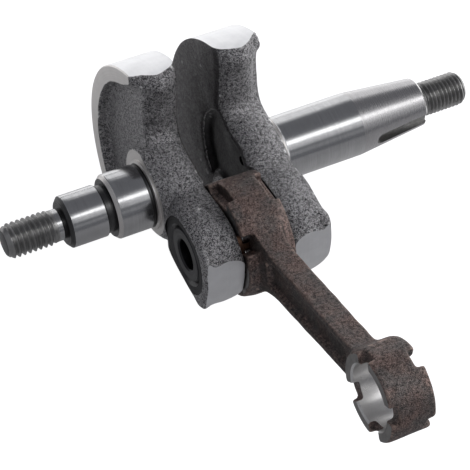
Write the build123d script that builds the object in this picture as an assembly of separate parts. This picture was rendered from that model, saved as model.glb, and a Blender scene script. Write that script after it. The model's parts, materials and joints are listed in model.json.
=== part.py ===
"""Built-up crankshaft with connecting rod for a small two-stroke engine.

Frame, in millimetres: the origin is on the shaft axis, midway between the two webs.
+X runs along the shaft to the tapered flywheel end, -Y is the direction of the crankpin
and +Z is up. The rod rests swung up from the crankpin direction by REST_ANGLE.
"""
import math
import os

from build123d import *

os.makedirs("parts", exist_ok=True)

# ---------------------------------------------------------------- driving dimensions
THROW = 19.0            # shaft axis to crankpin axis
WEB_RADIUS = 30.0       # turned outside of both webs
WEB_INNER = 4.6         # half of the gap between the webs
WEB_FLOOR = 13.4        # forged outer face of a web
WEB_OUTER = 15.75       # machined rim on the outer face
PIN_PAD = 15.45         # machined flat around the pin hole
POCKET_PLANE = 6.2      # floor of the pocket that clears the rod's big end
POCKET_RADIUS = 13.8
LOBE_ANGLE = 10.5       # half angle of the turned arc at the crankpin end
HEAVY_ANGLE = 111.5     # angle from the crankpin to the end of the counterweight arc
LOBE_EAR_ANGLE = 17.5   # the same angle on the outer skin, where the lobe ends in two ears
SKIN_START = 12.6       # inner plane of the outer skin
RIM_INNER_RADIUS = 25.6 # the counterweight face is recessed inside this radius
LIP_PLANE = 10.8        # on the flywheel side the recess starts here, behind a wall
BOSS_RADIUS = 11.6      # machined boss around the shaft
PAD_CENTRE = -24.0      # machined flat at the crankpin, along Y
PAD_LENGTH = 27.0
PAD_HEIGHT = 40.0

PIN_RADIUS = 6.5
PIN_BORE_RADIUS = 3.6
PIN_HALF_LENGTH = 15.1
PIN_HOLE_CHAMFER = 0.8

SEAT_RADIUS = 7.5       # both main bearing seats
JOURNAL_RADIUS = 6.0    # clutch journal, drive side
THREAD_RADIUS = 4.0     # both threads are M8
THREAD_CORE = 3.3
CREST_HALF_WIDTH = 0.08 # of one pitch
ROOT_HALF_WIDTH = 0.42  # of one pitch
EDGE_BREAK = 0.4        # small chamfers on the turned shaft
SHAFT_CHAMFER = 0.8     # the chamfers at the journal, the seat and the collar
END_CHAMFER = 0.5       # at both thread ends
NECK_RADIUS = 3.5       # plain necks behind the threads
DRIVE_PITCH = 1.25
FLYWHEEL_PITCH = 1.0

DRIVE_END = 50.0        # distances from the origin, drive side, all towards -X
DRIVE_FIRST_CREST = -48.75
DRIVE_CRESTS = 10
DRIVE_NECK = 36.9
JOURNAL_START = 36.1
JOURNAL_STOP = 27.1
SHOULDER = 25.3
COLLAR_START = 16.5

TAPER_START = 36.0      # distances from the origin, flywheel side, all towards +X
TAPER_STOP = 53.5
TAPER_END_RADIUS = 5.75
FLYWHEEL_NECK = 54.4
FLYWHEEL_FIRST_CREST = 55.0
FLYWHEEL_CRESTS = 10
FLYWHEEL_END = 65.3
KEY_WIDTH = 3.0
KEY_FLOOR = 4.55        # distance of the slot floor from the shaft axis
KEY_CUT_DEPTH = 5.0

ROD_LENGTH = 64.0
REST_ANGLE = 18.5
BIG_RADIUS = 13.0
BIG_BORE_RADIUS = 9.03
BIG_HALF_WIDTH = 5.8
BIG_RELIEF_HALF_WIDTH = 4.7
SMALL_RADIUS = 9.65
SMALL_BORE_RADIUS = 7.0
SMALL_HALF_WIDTH = 4.95
NOTCH_DEPTH = 1.6
NOTCH_WIDTH = 4.0
SHANK_HALF_WIDTH = 2.9
PANEL_DEPTH = 1.3
RELIEF_WIDTH = 8.0
RELIEFS = ((-1, 93.0), (-1, -93.0), (1, 80.0), (1, -80.0))  # face and angle from the shank
OIL_SLOT = ((-1, 25.0),)
OIL_SLOT_DEPTH = 2.6
OIL_SLOT_WIDTH = 4.0
NOTCHES = ((-1, 8.0), (-1, 99.0), (-1, -80.0), (-1, -155.0),
           (1, 68.0), (1, -28.0), (1, -115.0), (1, 158.0))
BORE_CHAMFER = 0.35

NEEDLES = 14
NEEDLE_RADIUS = 1.25
NEEDLE_HALF_LENGTH = 4.6
NEEDLE_PITCH_RADIUS = 7.765
CAGE_INNER_RADIUS = 6.85
CAGE_OUTER_RADIUS = 8.75
CAGE_HALF_WIDTH = 5.6
CAGE_SLOT_CLEARANCE = 0.06
NEEDLE_EDGE = 0.15
CUT = 1.0               # how far a cutting body runs past the face that it cuts


# ---------------------------------------------------------------- small helpers
def across(x):
    """The YZ plane at a distance x along the shaft, drawn in (y, z)."""
    return Plane(origin=(x, 0, 0), x_dir=(0, 1, 0), z_dir=(1, 0, 0))


def disc(x0, x1, radius, y=0.0, z=0.0):
    """A cylinder along X from x0 to x1 with its axis at (y, z)."""
    return extrude(across(x0) * Pos(y, z) * Circle(radius), x1 - x0)


def turned(points):
    """A body of revolution about X from (distance, radius) points."""
    wire = Polyline([(x, r, 0) for x, r in points], close=True)
    return revolve(make_face(wire), Axis.X)


def polar(angle, radius):
    """A point at an angle from the crankpin direction, positive towards +Z."""
    turn = math.radians(angle)
    return (-radius * math.cos(turn), radius * math.sin(turn))


def mirrored(points):
    """The same outline points below the crankpin direction, in reverse order."""
    return [(y, -z) for y, z in reversed(points)]


# ---------------------------------------------------------------- webs
def web_outline(flank):
    """The face of a web: two mirrored flanks closed by the two turned arcs."""
    low = mirrored(flank)
    upper = Spline(*flank)
    lower = Spline(*low)
    heavy = ThreePointArc(flank[-1], (WEB_RADIUS, 0), low[0])
    light = ThreePointArc(low[-1], (-WEB_RADIUS, 0), flank[0])
    return make_face([upper, heavy, lower, light])


def body_flank():
    """The forged flank from the pin lobe over the waist to the counterweight."""
    return [
        polar(LOBE_ANGLE, WEB_RADIUS),
        (-26.6, 8.3),
        (-21.5, 9.8),
        (-15.5, 9.3),
        (-9.0, 8.3),
        (-3.0, 9.5),
        (1.8, 10.1),
        (5.4, 11.6),
        (7.0, 16.0),
        (7.4, 21.0),
        (8.0, 25.5),
        polar(HEAVY_ANGLE, WEB_RADIUS),
    ]


def ear_flank():
    """The outline of the outer skin, whose lobe ends in two wider ears."""
    return [
        polar(LOBE_EAR_ANGLE, WEB_RADIUS),
        (-25.8, 9.6),
        (-21.0, 9.8),
        (-15.5, 9.2),
        (-9.0, 8.2),
        (-3.0, 9.5),
        (1.8, 10.1),
        (5.4, 11.4),
        (7.8, 16.0),
        (8.6, 21.0),
        (8.6, 25.5),
        polar(HEAVY_ANGLE, WEB_RADIUS),
    ]


def web_plate(side):
    """The forged plate of one web with its raised rim, pads and pocket."""
    body = extrude(across(side * WEB_INNER) * web_outline(body_flank()), side * (WEB_FLOOR - WEB_INNER))
    skin = extrude(across(side * SKIN_START) * web_outline(ear_flank()), side * (WEB_OUTER - SKIN_START))
    depth = 2 * (WEB_OUTER - WEB_FLOOR) + CUT
    hollow = disc(side * WEB_FLOOR, side * (WEB_OUTER + CUT), RIM_INNER_RADIUS)
    if side > 0:
        behind = Box(2 * depth, 2 * WEB_RADIUS, 2 * PAD_HEIGHT)
        hollow = hollow & Pos(WEB_OUTER, WEB_RADIUS + LIP_PLANE, 0) * behind
    boss = disc(side * (WEB_FLOOR - CUT), side * WEB_OUTER, BOSS_RADIUS)
    pad = Pos(side * WEB_OUTER, PAD_CENTRE, 0) * Box(depth, PAD_LENGTH, PAD_HEIGHT)
    skin = skin - (hollow - (boss + pad))
    flat = Pos(side * (PIN_PAD + CUT), PAD_CENTRE, 0) * Box(2 * CUT, PAD_LENGTH, PAD_HEIGHT)
    pocket = disc(side * (WEB_INNER - CUT), side * POCKET_PLANE, POCKET_RADIUS, -THROW)
    return body + (skin - flat) - pocket


def pin_hole(side):
    """The press bore for the crankpin with the chamfer at its outer mouth."""
    bore = disc(side * (WEB_INNER - CUT), side * (WEB_OUTER + CUT), PIN_RADIUS, -THROW)
    wide = PIN_RADIUS + PIN_HOLE_CHAMFER
    mouth = turned([
        (side * (PIN_PAD - PIN_HOLE_CHAMFER), 0),
        (side * (PIN_PAD - PIN_HOLE_CHAMFER), PIN_RADIUS),
        (side * PIN_PAD, wide),
        (side * (PIN_PAD + CUT), wide),
        (side * (PIN_PAD + CUT), 0),
    ])
    return bore + Pos(0, -THROW, 0) * mouth


# ---------------------------------------------------------------- shaft ends
def thread_teeth(first_crest, crests, pitch):
    """Profile points of a run of thread crests that climbs along +X."""
    points = []
    for index in range(crests):
        crest = first_crest + index * pitch
        points.append((crest - ROOT_HALF_WIDTH * pitch, THREAD_CORE))
        points.append((crest - CREST_HALF_WIDTH * pitch, THREAD_RADIUS))
        points.append((crest + CREST_HALF_WIDTH * pitch, THREAD_RADIUS))
        points.append((crest + ROOT_HALF_WIDTH * pitch, THREAD_CORE))
    return points


def thread_end(end, inward):
    """The chamfered tip of a threaded end: its last ring of points, from the edge inwards."""
    return [
        (end + inward * END_CHAMFER, THREAD_CORE + 0.3),
        (end, THREAD_CORE - 0.2),
        (end, 0),
    ]


def drive_shaft():
    """The drive end: M8 thread, clutch journal, relief groove and bearing seat."""
    root = WEB_FLOOR - CUT
    profile = [
        (-DRIVE_NECK, NECK_RADIUS),
        (-JOURNAL_START, NECK_RADIUS),
        (-JOURNAL_START, JOURNAL_RADIUS - SHAFT_CHAMFER),
        (-JOURNAL_START + SHAFT_CHAMFER, JOURNAL_RADIUS),
        (-JOURNAL_STOP, JOURNAL_RADIUS),
        (-JOURNAL_STOP + EDGE_BREAK, JOURNAL_RADIUS - EDGE_BREAK),
        (-SHOULDER - EDGE_BREAK, JOURNAL_RADIUS - EDGE_BREAK),
        (-SHOULDER, JOURNAL_RADIUS),
        (-SHOULDER, SEAT_RADIUS - SHAFT_CHAMFER),
        (-SHOULDER + SHAFT_CHAMFER, SEAT_RADIUS),
        (-COLLAR_START - EDGE_BREAK, SEAT_RADIUS),
        (-COLLAR_START, SEAT_RADIUS + SHAFT_CHAMFER),
        (-root, SEAT_RADIUS + SHAFT_CHAMFER),
        (-root, 0),
    ]
    tip = list(reversed(thread_end(-DRIVE_END, 1)))
    return turned(tip + thread_teeth(DRIVE_FIRST_CREST, DRIVE_CRESTS, DRIVE_PITCH) + profile)


def keyway():
    """The slot in the taper: round at its inner end, open at the small end."""
    start = TAPER_START + KEY_WIDTH / 2
    stop = TAPER_STOP + CUT
    depth = -KEY_FLOOR - KEY_CUT_DEPTH / 2
    slot = Pos((start + stop) / 2, depth, 0) * Box(stop - start, KEY_CUT_DEPTH, KEY_WIDTH)
    return slot + Pos(start, depth, 0) * Rot(90, 0, 0) * Cylinder(KEY_WIDTH / 2, KEY_CUT_DEPTH)


def flywheel_shaft():
    """The flywheel end: bearing seat, 1:5 taper with open keyway and M8 thread."""
    root = WEB_FLOOR - CUT
    profile = [
        (root, 0),
        (root, SEAT_RADIUS + SHAFT_CHAMFER),
        (COLLAR_START, SEAT_RADIUS + SHAFT_CHAMFER),
        (COLLAR_START + EDGE_BREAK, SEAT_RADIUS),
        (TAPER_START, SEAT_RADIUS),
        (TAPER_STOP - EDGE_BREAK, TAPER_END_RADIUS),
        (TAPER_STOP, TAPER_END_RADIUS - EDGE_BREAK),
        (TAPER_STOP, NECK_RADIUS),
        (FLYWHEEL_NECK, NECK_RADIUS),
    ]
    teeth = thread_teeth(FLYWHEEL_FIRST_CREST, FLYWHEEL_CRESTS, FLYWHEEL_PITCH)
    return turned(profile + teeth + thread_end(FLYWHEEL_END, -1)) - keyway()


def crank_half(side, shaft):
    """One web with its shaft, bored for the crankpin."""
    return web_plate(side) + shaft - pin_hole(side)


# ---------------------------------------------------------------- crankpin and bearing
def crankpin():
    """The hollow pin with small chamfers at both ends and both mouths."""
    end = PIN_HALF_LENGTH
    pin = disc(-end, end, PIN_RADIUS, -THROW) - disc(-end - CUT, end + CUT, PIN_BORE_RADIUS, -THROW)
    return chamfer(pin.edges().filter_by(GeomType.CIRCLE), EDGE_BREAK)


def needle(angle):
    """One roller at its place round the crankpin."""
    turn = math.radians(angle)
    y = -THROW + NEEDLE_PITCH_RADIUS * math.cos(turn)
    z = NEEDLE_PITCH_RADIUS * math.sin(turn)
    roller = disc(-NEEDLE_HALF_LENGTH, NEEDLE_HALF_LENGTH, NEEDLE_RADIUS, y, z)
    return fillet(roller.edges().filter_by(GeomType.CIRCLE), NEEDLE_EDGE)


def bearing_cage():
    """The cage ring with one window for every roller."""
    cage = disc(-CAGE_HALF_WIDTH, CAGE_HALF_WIDTH, CAGE_OUTER_RADIUS)
    cage = cage - disc(-CAGE_HALF_WIDTH - CUT, CAGE_HALF_WIDTH + CUT, CAGE_INNER_RADIUS)
    width = 2 * (NEEDLE_RADIUS + CAGE_SLOT_CLEARANCE)
    length = 2 * (NEEDLE_HALF_LENGTH + CAGE_SLOT_CLEARANCE)
    height = 2 * (CAGE_OUTER_RADIUS - CAGE_INNER_RADIUS)
    for index in range(NEEDLES):
        window = Pos(0, NEEDLE_PITCH_RADIUS, 0) * Box(length, height, width)
        cage = cage - Rot(360.0 * index / NEEDLES, 0, 0) * window
    return Pos(0, -THROW, 0) * cage


# ---------------------------------------------------------------- connecting rod
def rod_side(upper, depth, offset):
    """A slab of the rod seen from the side, centred on x = offset; upper is its upper edge."""
    face = make_face(Polyline(upper + mirrored(upper), close=True))
    return extrude(across(offset - depth / 2) * face, depth)


def shank():
    """The I-section shank, drawn along -Y from the big end to the small end."""
    edge = [(-8.0, 8.4), (-13.5, 6.3), (-19.0, 5.3), (-50.0, 4.5), (-55.0, 5.6), (-60.0, 8.2)]
    panel = [(-17.0, 2.6), (-20.5, 3.5), (-48.0, 2.8), (-51.5, 2.0)]
    body = rod_side(edge, 2 * SHANK_HALF_WIDTH, 0)
    for side in (-1, 1):
        body = body - rod_side(panel, 2 * PANEL_DEPTH, side * SHANK_HALF_WIDTH)
    return body


def face_slots(ring, half_width, depth, places, radius, width):
    """Cut a slot of this depth across a ring at each place, a face and an angle upwards."""
    for side, angle in places:
        middle = Pos(side * (half_width + (CUT - depth) / 2), -radius, 0)
        ring = ring - Rot(-angle, 0, 0) * middle * Box(depth + CUT, radius / 2 + 2 * CUT, width)
    return ring


def big_end():
    """The big-end ring: full width on two lands, relieved between them."""
    ring = disc(-BIG_HALF_WIDTH, BIG_HALF_WIDTH, BIG_RADIUS)
    depth = BIG_HALF_WIDTH - BIG_RELIEF_HALF_WIDTH
    middle = (BIG_RADIUS + BIG_BORE_RADIUS) / 2
    return face_slots(ring, BIG_HALF_WIDTH, depth, RELIEFS, middle, RELIEF_WIDTH)


def small_end():
    """The small-end ring with four notches in each face."""
    ring = disc(-SMALL_HALF_WIDTH, SMALL_HALF_WIDTH, SMALL_RADIUS)
    middle = (SMALL_RADIUS + SMALL_BORE_RADIUS) / 2
    ring = face_slots(ring, SMALL_HALF_WIDTH, NOTCH_DEPTH, NOTCHES, middle, NOTCH_WIDTH)
    return Pos(0, -ROD_LENGTH, 0) * ring


def bore_mouth(side):
    """The cone that breaks one edge of the small-end bore."""
    face = side * SMALL_HALF_WIDTH
    cone = turned([
        (face - side * BORE_CHAMFER, 0),
        (face - side * BORE_CHAMFER, SMALL_BORE_RADIUS),
        (face + side * BORE_CHAMFER, SMALL_BORE_RADIUS + 2 * BORE_CHAMFER),
        (face + side * BORE_CHAMFER, 0),
    ])
    return Pos(0, -ROD_LENGTH, 0) * cone


def connecting_rod():
    """The forged rod, bored at both ends and swung to its rest angle."""
    rod = big_end() + shank() + small_end()
    oil_radius = (BIG_RADIUS + BIG_BORE_RADIUS) / 2
    rod = face_slots(rod, BIG_HALF_WIDTH, OIL_SLOT_DEPTH, OIL_SLOT, oil_radius, OIL_SLOT_WIDTH)
    rod = rod - disc(-WEB_OUTER, WEB_OUTER, BIG_BORE_RADIUS)
    rod = rod - disc(-WEB_OUTER, WEB_OUTER, SMALL_BORE_RADIUS, -ROD_LENGTH)
    for side in (-1, 1):
        rod = rod - bore_mouth(side)
    return Pos(0, -THROW, 0) * Rot(-REST_ANGLE, 0, 0) * rod


# ---------------------------------------------------------------- write the pieces
def write(name, solid):
    """Save one piece and say how large it is."""
    export_step(solid, f"parts/{name}.step")
    size = solid.bounding_box().size
    print(f"{name:28s} {size.X:7.2f} {size.Y:7.2f} {size.Z:7.2f}  volume {solid.volume:9.1f}")


write("drive_side_crank_half", crank_half(-1, drive_shaft()))
write("flywheel_side_crank_half", crank_half(1, flywheel_shaft()))
write("crankpin", crankpin())
write("connecting_rod", connecting_rod())
write("bearing_cage", bearing_cage())
for number in range(NEEDLES):
    write(f"needle_roller_{number + 1:02d}", needle(360.0 * number / NEEDLES))
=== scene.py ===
# %% [markdown]
# # A built-up crankshaft with its connecting rod
# This part turns a small engine's piston strokes into rotation. Two forged webs are pressed
# onto a hollow crankpin, and the connecting rod swings on that pin on a caged needle bearing.
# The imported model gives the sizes, the places and the joints. This notebook gives every
# piece the skin that its making leaves on it: forged, shot-blasted, turned, ground or coppered.
# All lengths below are in millimetres and turned into metres when a mesh is made.

# %% Load the frame
import json
import math
import bpy
import bmesh
import numpy as np
import openvdb
from mathutils import Matrix, Vector


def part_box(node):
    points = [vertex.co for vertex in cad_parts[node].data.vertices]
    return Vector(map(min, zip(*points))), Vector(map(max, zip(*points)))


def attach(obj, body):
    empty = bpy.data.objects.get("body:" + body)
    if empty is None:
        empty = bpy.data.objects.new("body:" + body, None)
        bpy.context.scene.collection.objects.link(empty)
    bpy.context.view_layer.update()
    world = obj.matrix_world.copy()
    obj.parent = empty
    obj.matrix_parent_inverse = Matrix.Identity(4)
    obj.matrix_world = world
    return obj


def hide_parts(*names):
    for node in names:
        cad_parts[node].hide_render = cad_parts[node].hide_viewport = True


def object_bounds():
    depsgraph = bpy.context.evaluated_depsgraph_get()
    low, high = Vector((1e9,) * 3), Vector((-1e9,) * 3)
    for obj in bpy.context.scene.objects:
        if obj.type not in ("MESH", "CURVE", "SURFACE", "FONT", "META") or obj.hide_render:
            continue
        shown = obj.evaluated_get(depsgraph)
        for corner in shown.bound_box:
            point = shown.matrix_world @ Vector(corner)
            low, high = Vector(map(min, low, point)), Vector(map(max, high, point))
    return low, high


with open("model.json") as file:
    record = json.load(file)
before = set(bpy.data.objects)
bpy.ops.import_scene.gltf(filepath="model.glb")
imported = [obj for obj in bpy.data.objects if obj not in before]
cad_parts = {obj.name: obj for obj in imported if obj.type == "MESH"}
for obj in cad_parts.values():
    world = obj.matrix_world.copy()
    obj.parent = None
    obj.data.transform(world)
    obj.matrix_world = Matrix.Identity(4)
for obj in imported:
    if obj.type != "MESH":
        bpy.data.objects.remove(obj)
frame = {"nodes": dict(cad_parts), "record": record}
cad_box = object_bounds()
MM = 0.001
joints = {joint["name"]: joint for joint in frame["record"]["behaviour"]["joints"]}
mounts = {mount["name"]: mount for mount in frame["record"]["mounts"]}

# %% Driving sizes, read from the frame
pin_place = [value / MM for value in joints["rod_turn"]["pos_m"]]
THROW = -pin_place[1]
small_end = [value / MM for value in mounts["piston_pin_bore"]["pos_m"]]
ROD_LENGTH = math.hypot(small_end[1] + THROW, small_end[2])
REST_ANGLE = math.atan2(small_end[2], -small_end[1] - THROW)
box_low, box_high = [[value / MM for value in corner] for corner in cad_box]
DRIVE_END, FLYWHEEL_END, WEB_RADIUS = box_low[0], box_high[0], box_high[1]
pin_low, pin_high = [[value / MM for value in corner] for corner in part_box("crankpin")]
BIG_HALF_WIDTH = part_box("connecting_rod")[1][0] / MM
PIN_RADIUS = (pin_high[2] - pin_low[2]) / 2
print(f"throw {THROW:.1f} rod {ROD_LENGTH:.1f} rest {math.degrees(REST_ANGLE):.1f} deg web {WEB_RADIUS:.1f}")

# %% [markdown]
# ## Tools of the bench
# Two kinds of shape are on this object. Turned and ground shapes are exact, so they are swept
# round an axis from a profile, as a lathe does it. Forged shapes have no exact edges: every
# corner is rounded by the die. They are built as a distance field, a block of numbers that
# say how far each point is from the skin, which is blurred a little and then turned into a
# mesh. The lathe's and the drill's work is then cut into that mesh with Booleans, so machined
# faces meet forged ones in the crisp, uneven line that real machining leaves.

# %% Make, join and cut meshes
def new_object(name, points, faces, finish_list=(), face_finish=None):
    """A mesh object in metres from points in millimetres."""
    mesh = bpy.data.meshes.new(name)
    mesh.from_pydata((np.asarray(points, float) * MM).tolist(), [], faces)
    for finish in finish_list:
        mesh.materials.append(finish)
    if face_finish is not None:
        mesh.polygons.foreach_set("material_index", face_finish)
    piece = bpy.data.objects.new(name, mesh)
    bpy.context.scene.collection.objects.link(piece)
    return piece


def settle(piece):
    """Replace a piece's mesh with what its modifiers make of it."""
    graph = bpy.context.evaluated_depsgraph_get()
    mesh = bpy.data.meshes.new_from_object(piece.evaluated_get(graph))
    piece.modifiers.clear()
    piece.data = mesh


def work(piece, tool, operation):
    """Join, cut or trim a piece with a tool, which is used up. Each keeps its own finishes."""
    step = piece.modifiers.new(operation, "BOOLEAN")
    step.operation = operation
    step.solver = "MANIFOLD"
    step.material_mode = "TRANSFER"
    step.object = tool
    settle(piece)
    bpy.data.objects.remove(tool)
    return piece


def outward(piece):
    """Turn every face so that it looks out of the solid."""
    model = bmesh.new()
    model.from_mesh(piece.data)
    bmesh.ops.recalc_face_normals(model, faces=model.faces)
    if model.calc_volume(signed=True) < 0:
        bmesh.ops.reverse_faces(model, faces=model.faces)
    model.to_mesh(piece.data)
    model.free()
    return piece


print("bench tools: new_object, settle, work, outward")


# %% Turn a profile round an axis, as a lathe does
def turned(name, profile, steps=192, centre=(0.0, 0.0)):
    """Sweep (distance, radius, finish) points round a line along X through centre.

    A row's finish covers the stretch that starts at that row. A radius may be a function of
    the angle in radians, which is how a screw thread is made.
    """
    names = list(dict.fromkeys(row[2] for row in profile))
    angles = np.arange(steps) * 2 * math.pi / steps
    rows = []
    for distance, radius, _ in profile:
        reach = radius(angles) if callable(radius) else np.full(steps, float(radius))
        rows.append(np.stack([np.full(steps, distance), centre[0] + reach * np.cos(angles),
                              centre[1] + reach * np.sin(angles)], axis=1))
    points = np.concatenate(rows)
    faces, marks = [], []
    for row in range(len(profile) - 1):
        for step in range(steps):
            after = (step + 1) % steps
            faces.append((row * steps + step, row * steps + after,
                          (row + 1) * steps + after, (row + 1) * steps + step))
            marks.append(names.index(profile[row][2]))
    faces.append(tuple(reversed(range(steps))))
    marks.append(names.index(profile[0][2]))
    last = (len(profile) - 1) * steps
    faces.append(tuple(last + step for step in range(steps)))
    marks.append(names.index(profile[-1][2]))
    piece = new_object(name, points, faces, [finishes[key] for key in names], marks)
    return outward(piece)


print("bench tool: turned")

# %% Smooth the skin and keep its machined edges crisp
ROUGH_SKINS = {"blasted_forging", "inner_forging", "stained_hollow", "stained_coppering"}


def shade(piece, limit_degrees=32.0):
    """Smooth the skin, and keep an edge sharp where it turns hard or where the finish changes."""
    mesh = piece.data
    mesh.shade_smooth()
    mesh.set_sharp_from_angle(angle=math.radians(limit_degrees))
    model = bmesh.new()
    model.from_mesh(mesh)
    for edge in model.edges:
        marks = {mesh.materials[face.material_index].name for face in edge.link_faces}
        if len(marks) > 1 and len(marks - ROUGH_SKINS) > 0:
            edge.smooth = False
    model.to_mesh(mesh)
    model.free()
    print(f"{piece.name}: {len(mesh.polygons)} faces, {len(mesh.materials)} finishes")


print("skins that blend into each other:", sorted(ROUGH_SKINS))

# %% Distance fields for forged shapes
GRID = 0.3          # spacing of the field's points


class Field:
    """A block of distances to a skin, negative inside, on a regular grid."""

    def __init__(self, low, high):
        self.low = np.array(low, float)
        counts = np.ceil((np.array(high) - self.low) / GRID).astype(int)
        axes = [self.low[axis] + GRID * np.arange(counts[axis]) for axis in range(3)]
        self.x = axes[0][:, None, None]
        self.y = axes[1][None, :, None]
        self.z = axes[2][None, None, :]
        self.shape = tuple(counts)

    def skin(self, name, distance, finish):
        """Turn distances into a closed mesh of quads."""
        grid = openvdb.FloatGrid(1.0)
        grid.copyFromArray(np.ascontiguousarray(np.broadcast_to(distance, self.shape), np.float32))
        points, quads = grid.convertToQuads(0.0)
        piece = new_object(name, self.low + GRID * np.asarray(points, float),
                           np.asarray(quads).tolist(), [finish])
        return outward(piece)


def blur(block, width):
    """Soften a field by a bell curve of this width, which rounds its edges."""
    reach = int(3 * width / GRID) + 1
    weights = np.exp(-0.5 * (np.arange(-reach, reach + 1) * GRID / width) ** 2)
    weights /= weights.sum()
    for axis in range(3):
        margin = [(reach, reach) if side == axis else (0, 0) for side in range(3)]
        padded = np.pad(block, margin, mode="edge")
        count = block.shape[axis]
        total = np.zeros_like(block)
        for index, weight in enumerate(weights):
            part = [slice(None)] * 3
            part[axis] = slice(index, index + count)
            total += weight * padded[tuple(part)]
        block = total
    return block


def smooth_union(one, other, reach):
    """The nearer of two skins, blended over a distance as a fillet does it."""
    share = np.clip(0.5 + 0.5 * (other - one) / reach, 0, 1)
    return other * (1 - share) + one * share - reach * share * (1 - share)


def waviness(shape, width, height, seed):
    """Slow random swells of a forged skin, the same at every run."""
    noise = np.random.default_rng(seed).standard_normal(shape)
    noise = blur(noise, width)
    return noise * (height / noise.std())


def curve_through(points, steps=8):
    """A smooth line of straight bits through a few outline points."""
    points = [np.array(point, float) for point in points]
    ends = [2 * points[0] - points[1], *points, 2 * points[-1] - points[-2]]
    line = []
    for index in range(1, len(ends) - 2):
        before, start, stop, after = ends[index - 1:index + 3]
        for step in range(steps):
            t = step / steps
            bend = 2 * before - 5 * start + 4 * stop - after
            twist = 3 * start - before - 3 * stop + after
            line.append(0.5 * (2 * start + (stop - before) * t + bend * t ** 2 + twist * t ** 3))
    line.append(ends[-2])
    return line


def outline_distance(points, across, up):
    """Signed distance to a closed outline in the plane, negative inside."""
    across, up = np.broadcast_arrays(across, up)
    nearest = np.full(across.shape, np.inf)
    inside = np.zeros(across.shape, bool)
    for (ay, az), (by, bz) in zip(points, points[1:] + points[:1]):
        ey, ez = by - ay, bz - az
        t = np.clip(((across - ay) * ey + (up - az) * ez) / max(ey * ey + ez * ez, 1e-12), 0, 1)
        nearest = np.minimum(nearest, (across - ay - t * ey) ** 2 + (up - az - t * ez) ** 2)
        if az != bz:
            inside ^= ((az > up) != (bz > up)) & (across < ay + (up - az) * ey / ez)
    return np.where(inside, -1.0, 1.0) * np.sqrt(nearest)


print("field spacing", GRID, "mm")

# %% [markdown]
# ## Finishes
# All of it but the bronze-coloured cage is steel, and only the last thing done to each surface
# tells the pieces apart.
# A forged skin that was shot-blasted is a field of tiny dents, so its grey breaks up into
# bright and dark specks, and its edges are rubbed brighter and also get a painted highlight.
# A turned face carries fine rings round its axis. A ground seat is nearly a mirror with the finest of rings.
# Three effects are used by several finishes, so each is built once as a node group.

# %% Node group helpers
def group_shell(name, inputs, outputs):
    """An empty node group with named sockets."""
    tree = bpy.data.node_groups.new(name, "ShaderNodeTree")
    for label, kind, value in inputs:
        socket = tree.interface.new_socket(name=label, in_out="INPUT", socket_type=kind)
        socket.default_value = value
    for label, kind in outputs:
        tree.interface.new_socket(name=label, in_out="OUTPUT", socket_type=kind)
    return tree, tree.nodes.new("NodeGroupInput"), tree.nodes.new("NodeGroupOutput")


NUMBER = "NodeSocketFloat"


def input_name(word):
    """i0 is the first input, and in any other word an underscore stands for a space."""
    return int(word[1:]) if word[0] == "i" and word[1:].isdigit() else word.replace("_", " ")


def node(tree, kind, settings=None, **inputs):
    """Add a node, set its properties, and link or set its inputs by name or number."""
    made = tree.nodes.new(kind)
    for key, value in (settings or {}).items():
        setattr(made, key, value)
    for key, value in inputs.items():
        socket = made.inputs[input_name(key)]
        if isinstance(value, bpy.types.NodeSocket):
            tree.links.new(value, socket)
        else:
            socket.default_value = value
    return made


def math_node(tree, operation, first, second=0.0, clamp=False):
    """A sum, product or other step of arithmetic between two values."""
    made = node(tree, "ShaderNodeMath", {"operation": operation, "use_clamp": clamp}, i0=first, i1=second)
    return made.outputs[0]


def span(tree, value, low, high, to_low=0.0, to_high=1.0):
    """Stretch a value from one range to another, with its ends held."""
    made = node(tree, "ShaderNodeMapRange", {"clamp": True}, Value=value, From_Min=low, From_Max=high,
                To_Min=to_low, To_Max=to_high)
    return made.outputs[0]


def millimetres(tree):
    """The place on the piece, in millimetres, whatever the piece's pose."""
    place = tree.nodes.new("ShaderNodeTexCoord").outputs["Object"]
    scaled = node(tree, "ShaderNodeVectorMath", {"operation": "SCALE"}, i0=place)
    scaled.inputs["Scale"].default_value = 1 / MM
    return scaled.outputs[0]


print("node helpers: group_shell, node, math_node, span, millimetres")


# %% Shot-blast specks: tiny dents of two sizes
specks, given, out = group_shell(
    "Shot_Blast_Specks",
    [("Dent Size", NUMBER, 0.4), ("Contrast", NUMBER, 1.0)],
    [("Speck", NUMBER), ("Height", NUMBER)])
place = millimetres(specks)
per_mm = math_node(specks, "DIVIDE", 1.0, given.outputs["Dent Size"])
fine = node(specks, "ShaderNodeTexNoise", Vector=place, Scale=per_mm, Detail=2.5, Roughness=0.62)
coarse = node(specks, "ShaderNodeTexNoise", Vector=place,
              Scale=math_node(specks, "MULTIPLY", per_mm, 0.28), Detail=2.0, Roughness=0.5)
dents = node(specks, "ShaderNodeTexVoronoi", {"feature": "SMOOTH_F1"}, Vector=place,
             Scale=math_node(specks, "MULTIPLY", per_mm, 0.9), Smoothness=0.6)
blend_specks = math_node(specks, "ADD", math_node(specks, "MULTIPLY", fine.outputs[0], 0.72),
                         math_node(specks, "MULTIPLY", coarse.outputs[0], 0.28))
centred = math_node(specks, "MULTIPLY", math_node(specks, "SUBTRACT", blend_specks, 0.5),
                    given.outputs["Contrast"])
speck_value = span(specks, centred, -0.14, 0.17)
specks.links.new(speck_value, out.inputs["Speck"])
specks.links.new(math_node(specks, "ADD", blend_specks, math_node(specks, "MULTIPLY", dents.outputs[0], 0.5)),
                 out.inputs["Height"])
print("group", specks.name)

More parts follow.
